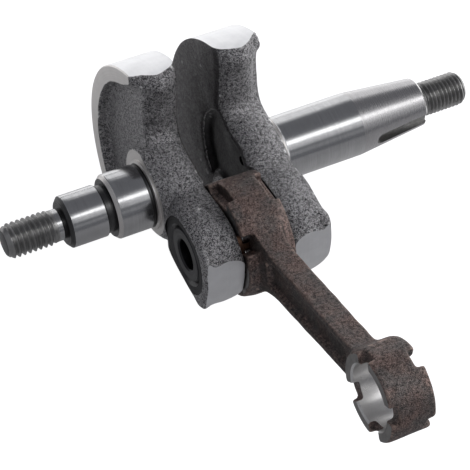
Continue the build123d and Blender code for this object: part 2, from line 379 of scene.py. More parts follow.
# %% Tool rings: fine lines that a turning or grinding tool leaves round the shaft
rings, given, out = group_shell(
    "Tool_Rings",
    [("Lines Per Millimetre", NUMBER, 6.0), ("Axis Y", NUMBER, 0.0), ("Scatter", NUMBER, 0.05)],
    [("Line", NUMBER), ("Patch", NUMBER)])
place = millimetres(rings)
parts = node(rings, "ShaderNodeSeparateXYZ", Vector=place)
off_axis = math_node(rings, "SUBTRACT", parts.outputs["Y"], given.outputs["Axis Y"])
squares = [math_node(rings, "MULTIPLY", value, value) for value in (off_axis, parts.outputs["Z"])]
from_axis = math_node(rings, "SQRT", math_node(rings, "ADD", *squares))
turn = math_node(rings, "ARCTAN2", parts.outputs["Z"], off_axis)
along = node(rings, "ShaderNodeCombineXYZ",
             X=math_node(rings, "MULTIPLY", parts.outputs["X"], given.outputs["Lines Per Millimetre"]),
             Y=math_node(rings, "MULTIPLY", from_axis, given.outputs["Lines Per Millimetre"]),
             Z=math_node(rings, "MULTIPLY", math_node(rings, "SINE", turn), given.outputs["Scatter"]))
lines = node(rings, "ShaderNodeTexNoise", Vector=along.outputs[0], Scale=1.0, Detail=3.0, Roughness=0.6)
patches = node(rings, "ShaderNodeTexNoise", Vector=place, Scale=0.35, Detail=3.0, Roughness=0.55)
rings.links.new(lines.outputs[0], out.inputs["Line"])
rings.links.new(patches.outputs[0], out.inputs["Patch"])
print("group", rings.name)

# %% Rubbed edges: convex edges catch the shot and the bench first, and are also brightened as painted highlight; concave creases are darkened as painted shade
rubbed, given, out = group_shell(
    "Edge_Wear_And_Painted_Light",
    [("Start", NUMBER, 0.52), ("Full", NUMBER, 0.62), ("Break Up", NUMBER, 0.25)],
    [("Edge", NUMBER), ("Hollow", NUMBER)])
# Edge brightens convex edges, partly as rubbed wear and partly as painted highlight; Hollow darkens concave
# creases as painted shade.
point = rubbed.nodes.new("ShaderNodeNewGeometry").outputs["Pointiness"]
ragged = node(rubbed, "ShaderNodeTexNoise", Vector=millimetres(rubbed), Scale=1.4, Detail=3.0)
shift = math_node(rubbed, "MULTIPLY", math_node(rubbed, "SUBTRACT", ragged.outputs[0], 0.5),
                  math_node(rubbed, "MULTIPLY", given.outputs["Break Up"], 0.2))
moved = math_node(rubbed, "ADD", point, shift)
edge_value = span(rubbed, moved, given.outputs["Start"], given.outputs["Full"])
crease_shade_value = span(rubbed, moved, 0.49, 0.42)
rubbed.links.new(edge_value, out.inputs["Edge"])
rubbed.links.new(crease_shade_value, out.inputs["Hollow"])
print("group", rubbed.name)


# %% A new finish with its shader
def new_finish(name, metallic):
    """A material with an empty Principled shader."""
    finish = bpy.data.materials.new(name)
    finish.use_nodes = True
    shader = finish.node_tree.nodes["Principled BSDF"]
    shader.inputs["Metallic"].default_value = metallic
    return finish, finish.node_tree, shader


def use_group(tree, group, **inputs):
    """Place a node group in a material, with this material's own values."""
    made = node(tree, "ShaderNodeGroup", {"node_tree": group})
    for key, value in inputs.items():
        made.inputs[key.replace("_", " ")].default_value = value
    return made


def mix(tree, share, first, second):
    """Blend two colours by a share from 0 to 1."""
    made = tree.nodes.new("ShaderNodeMix")
    made.data_type = "RGBA"
    for socket, value in ((made.inputs[0], share), (made.inputs[6], first), (made.inputs[7], second)):
        if isinstance(value, bpy.types.NodeSocket):
            tree.links.new(value, socket)
        else:
            socket.default_value = (*value, 1.0) if isinstance(value, tuple) else value
    return made.outputs[2]


def bump(tree, height, depth):
    """A Bump node whose full height is a real depth in millimetres."""
    made = node(tree, "ShaderNodeBump", Height=height, Distance=depth * MM, Strength=1.0)
    return made.outputs[0]


finishes = {}
print("finish helpers: new_finish, use_group, mix, bump")

# %% [markdown]
# ### Forged and shot-blasted steel
# The webs leave the die dark with scale, and steel shot then knocks it off, leaving a skin of
# dents a few tenths of a millimetre across. One flat grey would look like plastic, so specks
# drive the colour and the bump together, and the edges are brighter, partly as rubbed wear and
# partly as painted highlight. The faces towards the rod are screened from most of the shot, so
# they stay smoother, and their darker grey is painted shade. The hollow and the big end's
# pocket are painted near-black as painted shade.

# %% Forged, blasted and recessed skins
def forged_finish(name, dark, light, edge_light, roughness, dent, contrast, dent_depth):
    """Specks between a dark and a light grey; dent and dent_depth are sizes in millimetres."""
    finish, tree, shader = new_finish(name, 0.75)
    speck = use_group(tree, specks, Dent_Size=dent, Contrast=contrast)
    edge = use_group(tree, rubbed, Start=0.515, Full=0.60, Break_Up=0.3)
    skin_colour = mix(tree, speck.outputs["Speck"], dark, light)
    # Brighter edges: partly rubbed wear, partly painted highlight.
    wear_and_highlight = mix(tree, math_node(tree, "MULTIPLY", edge.outputs["Edge"],
                               math_node(tree, "MULTIPLY_ADD", speck.outputs["Speck"], 0.7), clamp=True),
               skin_colour, edge_light)
    tree.links.new(wear_and_highlight, shader.inputs["Base Color"])
    rough = span(tree, speck.outputs["Speck"], 0.0, 1.0, roughness + 0.1, roughness - 0.1)
    tree.links.new(rough, shader.inputs["Roughness"])
    tree.links.new(bump(tree, speck.outputs["Height"], dent_depth), shader.inputs["Normal"])
    return finish


finishes["blasted"] = forged_finish("blasted_forging", (0.022, 0.021, 0.024), (0.50, 0.49, 0.50),
                                    (0.95, 0.94, 0.94), 0.38, 0.17, 3.0, 0.24)
# The inner face's smoother, calmer specks are its own; its darker grey is painted shade from the web facing
# it.
finishes["inner"] = forged_finish("inner_forging", (0.045, 0.043, 0.045), (0.19, 0.183, 0.187),
                                  (0.36, 0.36, 0.36), 0.55, 0.2, 1.3, 0.07)
# The hollow and the big end's pocket are painted near-black: painted shade of these recesses.
finishes["pocket"] = forged_finish("stained_hollow", (0.014, 0.014, 0.015), (0.06, 0.057, 0.06),
                                   (0.2, 0.2, 0.2), 0.4, 0.3, 0.8, 0.05)
print("finishes", list(finishes))


# %% [markdown]
# ### Turned and ground steel
# A lathe tool leaves rings that spread light across their direction. A grinding wheel leaves
# finer ones. Both are bare metal, so the finish is fully metallic and its roughness and bump
# come from the rings, with a faint stain where oil and fingers have been.

# %% A machined face
def machined_finish(name, dark, light, roughness, spread, lines, ring_depth, axis_y=0.0, stain=0.35):
    """Bare metal between two greys, with so many rings per millimetre and a share of stain.

    The roughness swings up and down by spread. ring_depth is in millimetres.
    """
    finish, tree, shader = new_finish(name, 1.0)
    ring = use_group(tree, rings, Lines_Per_Millimetre=lines, Axis_Y=axis_y, Scatter=0.5)
    tone = math_node(tree, "ADD", math_node(tree, "MULTIPLY", ring.outputs["Line"], 1.0 - stain),
                     math_node(tree, "MULTIPLY", ring.outputs["Patch"], stain))
    colour = mix(tree, span(tree, tone, 0.3, 0.7), dark, light)
    rough = span(tree, tone, 0.3, 0.7, roughness + spread, roughness - spread)
    tree.links.new(colour, shader.inputs["Base Color"])
    tree.links.new(rough, shader.inputs["Roughness"])
    tree.links.new(bump(tree, ring.outputs["Line"], ring_depth), shader.inputs["Normal"])
    return finish


# %% Turned faces
finishes["rim"] = machined_finish(
    "turned_rim", (0.62, 0.60, 0.585), (0.74, 0.72, 0.705), 0.40, 0.04, 7.0, 0.002)
finishes["arc"] = machined_finish(
    "turned_arc", (0.74, 0.74, 0.75), (0.82, 0.82, 0.83), 0.46, 0.03, 2.0, 0.001, stain=0.7)
# The shoulders' and chamfers' near-black grey is painted shade: turned steel is bright, and these side-facing
# faces get little light.
finishes["shoulder"] = machined_finish(
    "turned_shoulder", (0.05, 0.05, 0.052), (0.12, 0.12, 0.12), 0.34, 0.06, 6.0, 0.008)
finishes["thread"] = machined_finish(
    "cut_thread", (0.20, 0.198, 0.195), (0.46, 0.455, 0.45), 0.34, 0.08, 5.0, 0.006)
# The drilled hole's near-black grey is painted shade of the hole's inside.
finishes["hole"] = machined_finish(
    "drilled_hole", (0.02, 0.02, 0.021), (0.06, 0.059, 0.061), 0.32, 0.06, 4.0, 0.01, axis_y=-THROW)
# The milled pad's near-black colour is painted shade: bare milled steel is bright, and this face is dark only
# from the dark surroundings it reflects.
finishes["pad"] = machined_finish(
    "milled_pad", (0.018, 0.018, 0.019), (0.05, 0.05, 0.053), 0.5, 0.07, 5.0, 0.006, axis_y=-THROW)
print("finishes", list(finishes))

# %% Ground faces
finishes["seat"] = machined_finish(
    "ground_seat", (0.42, 0.42, 0.425), (0.56, 0.56, 0.565), 0.19, 0.04, 9.0, 0.0012)
finishes["taper"] = machined_finish(
    "ground_taper", (0.38, 0.375, 0.38), (0.50, 0.49, 0.495), 0.26, 0.05, 8.0, 0.003)
finishes["bore"] = machined_finish(
    "ground_bore", (0.58, 0.575, 0.57), (0.76, 0.75, 0.745), 0.30, 0.05, 7.0, 0.003)
finishes["pin"] = machined_finish(
    "hardened_pin", (0.025, 0.025, 0.027), (0.06, 0.06, 0.063), 0.38, 0.06, 6.0, 0.004, axis_y=-THROW)
finishes["roller"] = machined_finish(
    "polished_roller", (0.5, 0.5, 0.5), (0.62, 0.62, 0.62), 0.12, 0.03, 8.0, 0.001, axis_y=-THROW)
print("finishes", list(finishes))

# %% [markdown]
# ### Coppered forging
# A rod of this kind is copper-plated before it is case-hardened, so that only its bores
# harden. The plating darkens to brown and stays pinkish on raised faces, whose rubbed edges also
# carry a painted highlight. The panels and creases are painted nearly black as painted shade. One
# brown would look painted, so clouds of grey and specks are mixed in, and the flat sides get a
# smaller share of light plating as painted shade.

# %% The rod's skin, its cut faces and the cage
def coppered_finish(name, bright):
    """The plated skin; bright is the share of light plating shown, and a low share paints shade."""
    finish, tree, shader = new_finish(name, 0.6)
    speck = use_group(tree, specks, Dent_Size=0.2, Contrast=1.5)
    edge = use_group(tree, rubbed, Start=0.51, Full=0.58, Break_Up=0.5)
    clouds = node(tree, "ShaderNodeTexNoise", Vector=millimetres(tree), Scale=0.22, Detail=4.0, Roughness=0.6)
    light = math_node(tree, "MULTIPLY", speck.outputs["Speck"], bright)
    brown = mix(tree, light, (0.03, 0.022, 0.02), (0.32, 0.225, 0.20))
    grey = mix(tree, light, (0.035, 0.031, 0.030), (0.22, 0.19, 0.18))
    skin_colour = mix(tree, span(tree, clouds.outputs[0], 0.38, 0.62), brown, grey)
    wear_and_highlight = mix(tree, math_node(tree, "MULTIPLY", edge.outputs["Edge"], 0.65), skin_colour, (0.45, 0.33, 0.28))
    # Concave creases are darkened here as painted shade.
    deep = mix(tree, math_node(tree, "MULTIPLY", edge.outputs["Hollow"], 0.7), wear_and_highlight, (0.03, 0.027, 0.026))
    tree.links.new(deep, shader.inputs["Base Color"])
    tree.links.new(span(tree, speck.outputs["Speck"], 0.0, 1.0, 0.62, 0.42), shader.inputs["Roughness"])
    tree.links.new(bump(tree, speck.outputs["Height"], 0.11), shader.inputs["Normal"])
    return finish


finishes["coppered"] = coppered_finish("coppered_forging", 1.0)
finishes["stained"] = coppered_finish("stained_coppering", 0.35)
finishes["rod_face"] = machined_finish(
    "rod_cut_face", (0.17, 0.165, 0.16), (0.34, 0.33, 0.32), 0.4, 0.08, 4.0, 0.01, stain=0.6)
finishes["cage"] = machined_finish(
    "cage_bronze", (0.05, 0.03, 0.022), (0.16, 0.09, 0.06), 0.34, 0.08, 6.0, 0.006,
    axis_y=-THROW, stain=0.5)
print("finishes", list(finishes))

# %% [markdown]
# ## The webs
# Each web is one forging: a disc sector that balances the piston, a narrow waist at the shaft
# and a lobe that holds the crankpin. Its flanks are forged, and only the outer arcs, the rim,
# the boss and the spot face round the pin are machined. Pulling a flat outline out to a slab
# would leave the straight walls that a die can't, so the forging is a distance field. It is
# drawn from two outlines: the body's, and near the outer face the skin's, whose ears reach
# further round the rim. The flanks are widest at the die's parting line. The flywheel web
# also has a round hollow in its inner face, with a drilled dimple in it.

# %% Sizes of a web
WEB_INNER = 4.6         # the face towards the rod
WEB_FLOOR = 13.4        # the floor of the recess in the outer face
WEB_OUTER = 15.75       # the machined rim
RIM_INNER = 26.0        # the recess reaches out to this radius
RECESS_STOP = 8.6       # and ends this far from the pin's axis
LIP = 2.4               # the flywheel web keeps this wall between recess and flank
WALL_SLOPE = 0.3        # slope of the recess walls
BOSS_RADIUS = 10.6      # the machined ring round the shaft
PIN_PAD = 15.25         # the spot face round the pin
PAD_RADIUS = 9.2
PIN_MOUTH = 0.8         # the chamfer of the pin's bore
POCKET_RADIUS = 13.8    # turned clearance for the rod's big end
POCKET_PLANE = 6.2
HOLLOW_RADIUS = 13.2    # forged round hollow in the inner face, round the shaft's axis
HOLLOW_FLOOR = 6.4
HOLLOW_WALL = 2.6       # steel left between the hollow and the flank
DIMPLE_PLACE, DIMPLE_RADIUS = (-2.9, 4.1), 1.15
print("web from", WEB_INNER, "to", WEB_OUTER, "mm off the middle")

# %% How the die shapes a web
LOBE_DROP = 0.4         # the lobe's forged face lies this much under the machined rim
LIGHT_EXTRA = 0.6       # stock that the lathe takes off the arc at the pin
HEAVY_EXTRA = 2.2       # and off the arc of the counterweight
FACE_EXTRA = 0.5        # stock taken off the rim
FLANK_DRAFT = 0.13      # the counterweight's flanks lean back towards the outer face
PARTING = 10.3          # the die's parting line, where the flanks are widest
CROWN = 0.75            # how far they stand out there
CROWN_REACH = 5.2       # and how far from the line they are back to nothing
TOP_CROWN = 1.3         # how much more they stand out beside the counterweight's arc
LOWER_LEAN = 1.0        # the lower ear is this much slimmer than the upper one
LOWER_TRIM = 0.7
EDGE_BLUR = 0.62        # how far the die has rounded every corner


def polar(angle, radius):
    """A point at an angle in degrees from the pin's direction, positive upwards."""
    turn = math.radians(angle)
    return (-radius * math.cos(turn), radius * math.sin(turn))


def web_outline(flank, light_angle, heavy_angle):
    """Close two mirrored flanks with the arcs of the rough forging."""
    light_rough, heavy_rough = WEB_RADIUS + LIGHT_EXTRA, WEB_RADIUS + HEAVY_EXTRA
    upper = curve_through([polar(light_angle, light_rough), *flank, polar(heavy_angle, heavy_rough)])
    heavy = [polar(angle, heavy_rough) for angle in np.arange(heavy_angle + 3, 181, 3)]
    light = [polar(angle, light_rough) for angle in np.arange(0, light_angle, 3)]
    half = light + [tuple(point) for point in upper] + heavy
    return half + [(y, -z) for y, z in half[-2:0:-1]]


body_outline = web_outline([(-27.6, 7.6), (-25.4, 9.0), (-21.5, 9.9), (-15.5, 9.4), (-9.0, 8.3), (-3.0, 9.5),
                            (1.8, 10.1), (4.9, 11.2), (6.0, 14.2), (6.2, 17.5), (6.9, 22.5), (7.5, 26.0),
                            (9.3, 28.4)], 9.5, 111.5)
skin_outlines = {
    -1: web_outline([(-28.3, 9.2), (-26.3, 10.1), (-24.0, 9.6), (-20.5, 9.7), (-15.5, 9.2), (-9.0, 8.2),
                     (-3.0, 9.5), (1.8, 10.1), (5.4, 11.0), (7.6, 14.0), (8.4, 18.0), (8.8, 23.0),
                     (8.9, 26.0), (9.8, 28.4)], 16.5, 112.0),
    1: web_outline([(-28.6, 8.8), (-26.6, 9.4), (-24.3, 8.4), (-20.5, 8.9), (-15.5, 9.2), (-9.0, 8.2),
                    (-3.0, 9.2), (1.6, 9.7), (6.0, 9.9), (8.2, 12.2), (9.2, 15.5), (10.2, 20.0),
                    (10.2, 22.8), (9.2, 24.6), (9.2, 26.4), (10.6, 27.5), (13.0, 27.6)], 16.0, 119.0),
}
print("outline points", len(body_outline), len(skin_outlines[1]))


# %% Soft steps and rounded edges
def ease(value, low, high):
    """A smooth step from 0 to 1 between two values."""
    share = np.clip((value - low) / (high - low), 0, 1)
    return share * share * (3 - 2 * share)


def rounded(one, other, radius):
    """What two half spaces share, with a rounded edge between them."""
    first, second = one + radius, other + radius
    outside = np.sqrt(np.maximum(first, 0) ** 2 + np.maximum(second, 0) ** 2)
    return outside + np.minimum(np.maximum(first, second), 0) - radius


print("halfway up a step:", ease(0.5, 0.0, 1.0))


# %% The flanks, the outer face and the recess of a web
def web_flanks(side, x, y, z, radius):
    """Distance to the flanks at every depth, with crown and draft, and to the skin's outline."""
    body_edge = outline_distance(body_outline, y[0], z[0])[None]
    skin_edge = outline_distance(skin_outlines[side], y[0], z[0])[None]
    swell = CROWN * (1 - np.abs(x - PARTING) / CROWN_REACH)
    beside_arc = ease(radius, 20.0, 28.0) * ease(y, 2.0, 6.0)
    swell = swell + TOP_CROWN * np.exp(-((x - PARTING) / 3.0) ** 2) * beside_arc
    swell = swell * (1 - ease(-z, 12.0, 20.0)) - LOWER_LEAN * ease(-z, 16.0, 24.0)
    draft = FLANK_DRAFT * (x - WEB_INNER) * ease(y, 1.0, 7.0)
    share = ease(x, WEB_FLOOR - 0.4, WEB_OUTER - 1.1)
    edge = (body_edge + draft - swell) * (1 - share) + skin_edge * share
    return edge + LOWER_TRIM * ease(-z, 18.0, 26.0), skin_edge


def outer_face(x, y, radius):
    """Distance to the outer face: the lobe lies lower than what the lathe will reach."""
    boss = BOSS_RADIUS - 1.7 * ease(-y, -1.0, 5.0)
    machined = np.maximum(ease(y, -5.0, 1.0), ease(boss - radius, -1.0, -0.4))
    return x - (WEB_OUTER - LOBE_DROP + (LOBE_DROP + FACE_EXTRA) * machined)


def web_recess(side, x, y, z, radius, skin_edge):
    """The recess between rim and boss, which is open to the flanks on the drive web only."""
    angle = np.degrees(np.arctan2(np.abs(z), -y))
    slope = WALL_SLOPE * (x - WEB_OUTER)
    rim_inner = RIM_INNER + 1.5 * (1 - ease(angle, 108.0, 124.0))
    recess = np.maximum(radius - rim_inner - slope, BOSS_RADIUS - slope - radius)
    recess = np.maximum(np.maximum(recess, RECESS_STOP - THROW - y - slope), WEB_FLOOR - x)
    return np.maximum(recess, skin_edge + LIP) if side > 0 else recess


# %% The forged web as a field
def forged_web(side, seed):
    """One web's rough forging, drawn on the +X side and mirrored for the drive side."""
    block = Field((WEB_INNER - 2.4, -WEB_RADIUS - 3, -WEB_RADIUS - 4),
                  (WEB_OUTER + 3, WEB_RADIUS + 4, WEB_RADIUS + 4))
    x, y, z = block.x, block.y, block.z
    radius = np.sqrt(y * y + z * z)
    edge, skin_edge = web_flanks(side, x, y, z, radius)
    inner_round = 1.8 + 2.2 * ease(y, -12.0, -3.0) * ease(-y, -9.0, -4.0) + 1.6 * ease(-y, 19.0, 27.0)
    inner_round = inner_round + 0.8 * ease(y, 4.0, 9.0)
    outer_round = 1.2 + 1.0 * ease(y, -16.0, -9.0) * ease(-y, -7.0, 0.0)
    outer_round = outer_round + 1.0 * ease(y, 3.0, 8.0) * (side < 0)
    outer_round = outer_round + 1.5 * (1 + side) * ease(-z, 2.0, 6.0) * ease(-y, 18.0, 24.0)
    solid = rounded(edge, WEB_INNER - x, inner_round)
    solid = np.maximum(solid, rounded(edge, outer_face(x, y, radius), outer_round))
    solid = np.maximum(solid, -web_recess(side, x, y, z, radius, skin_edge))
    if side > 0:
        hollow = np.maximum(radius - HOLLOW_RADIUS + 0.25 * (x - WEB_INNER), edge + HOLLOW_WALL)
        solid = np.maximum(solid, -np.maximum(hollow, x - HOLLOW_FLOOR))
    field = blur(solid, EDGE_BLUR)
    field += waviness(block.shape, 1.6, 0.055, seed)
    web = block.skin(f"web_{'drive' if side < 0 else 'flywheel'}", field, finishes["blasted"])
    if side < 0:
        web.data.transform(Matrix.Scale(-1, 4, (1, 0, 0)))
        outward(web)
    return web


def envelope(side):
    """What the lathe leaves: the turned outside and the rim plane."""
    return turned("envelope", [
        (side * (WEB_INNER - 2.0), WEB_RADIUS, "arc"),
        (side * (WEB_OUTER - 0.25), WEB_RADIUS, "rim"),
        (side * WEB_OUTER, WEB_RADIUS - 0.25, "rim"),
    ], steps=360)


# %% [markdown]
# ## Shaft ends
# Both ends are turned from the same forging as their web. The drive side carries the clutch
# journal and an M8 coarse thread, the flywheel side a ground seat, a taper with an open
# keyway and an M8 fine thread. Both could be built from cylinders, but one profile swept
# round the axis is how a lathe works, and it keeps every chamfer and relief in one list. A
# thread is a groove that climbs one pitch per turn, so its radius depends on the angle as
# well as on the distance along the shaft.

# %% Sizes of the shaft ends
SEAT_RADIUS = 7.5
JOURNAL_RADIUS = 6.0
THREAD_RADIUS = 4.0
THREAD_CORE = 3.35
TAPER_START, TAPER_STOP, TAPER_END_RADIUS = 36.0, 53.5, 5.75


def thread_rows(start, stop, pitch, finish, fade_start, fade_stop, per_pitch=14):
    """Rows of a screw thread between two distances; the groove fades out over the last turns."""
    rows = []
    count = int(abs(stop - start) / pitch * per_pitch)
    for index in range(count + 1):
        distance = start + (stop - start) * index / count

        def reach(angles, distance=distance):
            phase = (distance / pitch - angles / (2 * math.pi)) % 1.0
            ridge = np.clip((0.5 - np.abs(phase - 0.5)) * 2 * 1.28 - 0.14, 0, 1)
            depth = THREAD_RADIUS - THREAD_CORE
            near = np.clip(abs(distance - start) / fade_start, 0, 1)
            full = THREAD_RADIUS - depth * (1 - near)
            ending = np.clip(abs(distance - stop) / fade_stop, 0, 1)
            return np.minimum(THREAD_CORE + depth * ridge, full) * ending + (1 - ending) * (THREAD_CORE + 0.3)

        rows.append((distance, reach, finish))
    return rows


def drive_shaft():
    """The drive end, from the web out to the threaded tip."""
    rows = [(DRIVE_END, 2.3, "shoulder"), (DRIVE_END + 0.15, 2.95, "thread")]
    rows += thread_rows(DRIVE_END + 0.5, -38.4, 1.25, "thread", 1.1, 1.2)
    rows += [
        (-38.0, 3.62, "seat"),
        (-36.9, 3.62, "shoulder"),
        (-36.6, 3.4, "shoulder"),
        (-36.1, 3.4, "shoulder"),
        (-36.1, 5.1, "shoulder"),
        (-35.35, 5.95, "seat"),
        (-35.25, JOURNAL_RADIUS, "seat"),
        (-27.3, JOURNAL_RADIUS, "seat"),
        (-27.1, 5.85, "shoulder"),
        (-26.9, 5.5, "shoulder"),
        (-25.3, 5.5, "shoulder"),
        (-25.3, 6.75, "rim"),
        (-24.55, 7.42, "seat"),
        (-24.4, SEAT_RADIUS, "seat"),
        (-17.3, SEAT_RADIUS, "shoulder"),
        (-17.1, 7.15, "shoulder"),
        (-16.5, 7.15, "shoulder"),
        (-16.4, 7.5, "rim"),
        (-16.2, 8.1, "rim"),
        (-12.4, 8.1, "rim"),
    ]
    return turned("drive_shaft", rows, steps=160)


def flywheel_shaft():
    """The flywheel end, from the web out to the threaded tip."""
    rows = [
        (12.4, 8.3, "rim"),
        (16.4, 8.3, "rim"),
        (16.5, 7.95, "seat"),
        (17.0, SEAT_RADIUS, "seat"),
        (TAPER_START, SEAT_RADIUS, "taper"),
        (TAPER_STOP - 0.5, TAPER_END_RADIUS, "bore"),
        (TAPER_STOP, TAPER_END_RADIUS - 0.45, "shoulder"),
        (TAPER_STOP, 3.6, "shoulder"),
        (TAPER_STOP + 0.7, 3.5, "shoulder"),
    ]
    rows += thread_rows(FLYWHEEL_END - 0.5, TAPER_STOP + 0.9, 1.0, "thread", 1.0, 0.8)[::-1]
    rows += [(FLYWHEEL_END - 0.15, 2.95, "shoulder"), (FLYWHEEL_END, 2.3, "shoulder")]
    return turned("flywheel_shaft", rows, steps=160)


def keyway():
    """A side-milled slot: round at the inner end, open at the small end of the taper."""
    half, floor, top = 1.5, -4.55, -12.0
    start, stop = TAPER_START + 3.5 + half, TAPER_STOP + 2.0
    ends = [(start - half * math.sin(t), half * math.cos(t)) for t in np.linspace(0, math.pi, 17)]
    outline = [(stop, half)] + ends + [(stop, -half)]
    points = [(x, y, z) for y in (floor, top) for x, z in outline]
    count = len(outline)
    faces = [tuple(range(count)), tuple(reversed(range(count, 2 * count)))]
    faces += [(i, (i + 1) % count, count + (i + 1) % count, count + i) for i in range(count)]
    return outward(new_object("keyway", points, faces, [finishes["thread"]]))


taper_ratio = (TAPER_STOP - TAPER_START) / (2 * (SEAT_RADIUS - TAPER_END_RADIUS))
print("the taper loses 1 mm of diameter in", round(taper_ratio, 2), "mm")


# %% Cutting tools of the crank halves
def pin_bore(side):
    """The press bore with its chamfered mouth, as one cutting tool."""
    wide = PIN_RADIUS + PIN_MOUTH
    return turned("pin_bore", [
        (side * (WEB_INNER - 2), PIN_RADIUS, "pad"),
        (side * (PIN_PAD - PIN_MOUTH), PIN_RADIUS, "shoulder"),
        (side * PIN_PAD, wide, "shoulder"),
        (side * (WEB_OUTER + 2), wide, "shoulder"),
    ], steps=128, centre=(-THROW, 0.0))


def spot_face(side):
    """The counterbore's flat round the pin."""
    low, high = sorted((side * PIN_PAD, side * (WEB_OUTER + 2)))
    return turned("spot_face", [(low, PAD_RADIUS, "pad"), (high, PAD_RADIUS, "pad")], centre=(-THROW, 0.0))


def pocket(side):
    """The clearance for the rod's big end in the inner face."""
    # Its faces take the near-black hollow finish, which is painted shade.
    return turned("pocket", [
        (side * (WEB_INNER - 2), POCKET_RADIUS, "pocket"),
        (side * (POCKET_PLANE - 0.6), POCKET_RADIUS, "pocket"),
        (side * POCKET_PLANE, POCKET_RADIUS - 0.6, "pocket"),
    ], steps=160, centre=(-THROW, 0.0))


def dimple():
    """A short drilled hole with a pointed bottom, in the hollow of the flywheel web."""
    return turned("dimple", [
        (WEB_INNER, DIMPLE_RADIUS, "hole"),
        (HOLLOW_FLOOR + 1.2, DIMPLE_RADIUS, "hole"),
        (HOLLOW_FLOOR + 1.8, 0.1, "hole"),
    ], steps=32, centre=DIMPLE_PLACE)


print("pin bore radius", round(PIN_RADIUS, 2), "pocket radius", POCKET_RADIUS)


# %% Mark the skins of a web
def in_hollow(face, side):
    """Whether a face of the forging is a wall or the floor of the hollow."""
    depth = abs(face.center.x) / MM - WEB_INNER
    from_axis = math.hypot(face.center.y, face.center.z) / MM
    outwards = (face.normal.y * face.center.y + face.normal.z * face.center.z) / (from_axis * MM)
    sunk = outwards < -0.3 or (-side * face.normal.x > 0.9 and depth > 1.2)
    return side > 0 and 0.3 < depth < 2.4 and from_axis < HOLLOW_RADIUS and sunk


def mark_skins(web, side):
    """Give the inner face and the hollow their own finishes, whose darker greys are painted shade."""
    inner, hollow = 1, 2
    web.data.materials.append(finishes["inner"])
    web.data.materials.append(finishes["pocket"])
    for face in web.data.polygons:
        if in_hollow(face, side):
            face.material_index = hollow
        elif -side * face.normal.x > 0.8:
            face.material_index = inner


# %% Build both crank halves
def crank_half(name, side, shaft, seed):
    """One forging with its shaft, machined all over its working faces."""
    half = forged_web(side, seed)
    half.name = name
    mark_skins(half, side)
    work(half, envelope(side), "INTERSECT")
    work(half, spot_face(side), "DIFFERENCE")
    work(half, pocket(side), "DIFFERENCE")
    work(half, shaft, "UNION")
    work(half, pin_bore(side), "DIFFERENCE")
    return half


drive_half = crank_half("drive_crank_half", -1, drive_shaft(), 11)
fly_shaft = work(flywheel_shaft(), keyway(), "DIFFERENCE")
flywheel_half = crank_half("flywheel_crank_half", 1, fly_shaft, 23)
work(flywheel_half, dimple(), "DIFFERENCE")
for half, cad_node in ((drive_half, "drive_side_crank_half"), (flywheel_half, "flywheel_side_crank_half")):
    shade(half)
    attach(half, "crank")
    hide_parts(cad_node)

# %% [markdown]
# ## The connecting rod
# The rod is a drop forging with an I-shaped shank. Its big end runs on the needles and has
# slots in its side faces that let oil reach them. Its small end has notches that do the same
# for the piston pin's bearing. Both bores and all side faces are ground after forging. The
# shank flows into both eyes with wide fillets, which a distance field gives by blending, and
# the grinding is then cut with Booleans, as on the webs.

# %% Sizes of the rod
BIG_RADIUS, BIG_BORE = 13.0, 9.03
SMALL_RADIUS, SMALL_BORE, SMALL_HALF_WIDTH = 9.65, 7.0, 4.95
SHANK_HALF_WIDTH = 2.9
PANEL_DEPTH = 1.35
ROD_BLUR = 0.26
shank_edge = [(-4.0, 10.6), (-8.0, 9.2), (-13.5, 6.6), (-19.0, 5.35), (-30.0, 5.0), (-50.0, 4.5),
              (-55.5, 5.4), (-60.0, 8.4)]
panel_edge = [(-15.6, 3.4), (-20.5, 3.6), (-30.0, 3.4), (-48.0, 2.8), (-51.0, 2.2)]


def both_edges(upper, steps=6):
    """An outline from its upper edge and the same edge mirrored."""
    line = [tuple(point) for point in curve_through(upper, steps)]
    return line + [(y, -z) for y, z in reversed(line)]


print("shank", 2 * SHANK_HALF_WIDTH, "mm thick with panels", PANEL_DEPTH, "mm deep")


# %% Fields of the rod's eyes and slots
def ring_field(block, radius, half_width, centre_y, edge):
    """A solid disc along X with rounded edges."""
    wide = np.sqrt((block.y - centre_y) ** 2 + block.z ** 2) - radius + edge
    tall = np.abs(block.x) - half_width + edge
    outside = np.sqrt(np.maximum(wide, 0) ** 2 + np.maximum(tall, 0) ** 2)
    return outside + np.minimum(np.maximum(wide, tall), 0) - edge


def slot_field(block, side, angle, inner, depth, width, edge, centre_y, half_width, radius):
    """A rounded slot across a side face, at an angle from the shank's direction."""
    turn = math.radians(angle)
    along = -(block.y - centre_y) * math.cos(turn) + block.z * math.sin(turn)
    across = (block.y - centre_y) * math.sin(turn) + block.z * math.cos(turn)
    reach = [np.abs(along - radius) - (radius - inner), np.abs(across) - width / 2,
             np.abs(block.x - side * half_width) - depth]
    reach = [value + edge for value in reach]
    outside = np.sqrt(sum(np.maximum(value, 0) ** 2 for value in reach))
    return outside + np.minimum(np.maximum(np.maximum(reach[0], reach[1]), reach[2]), 0) - edge


print("rod fields: ring_field, slot_field")


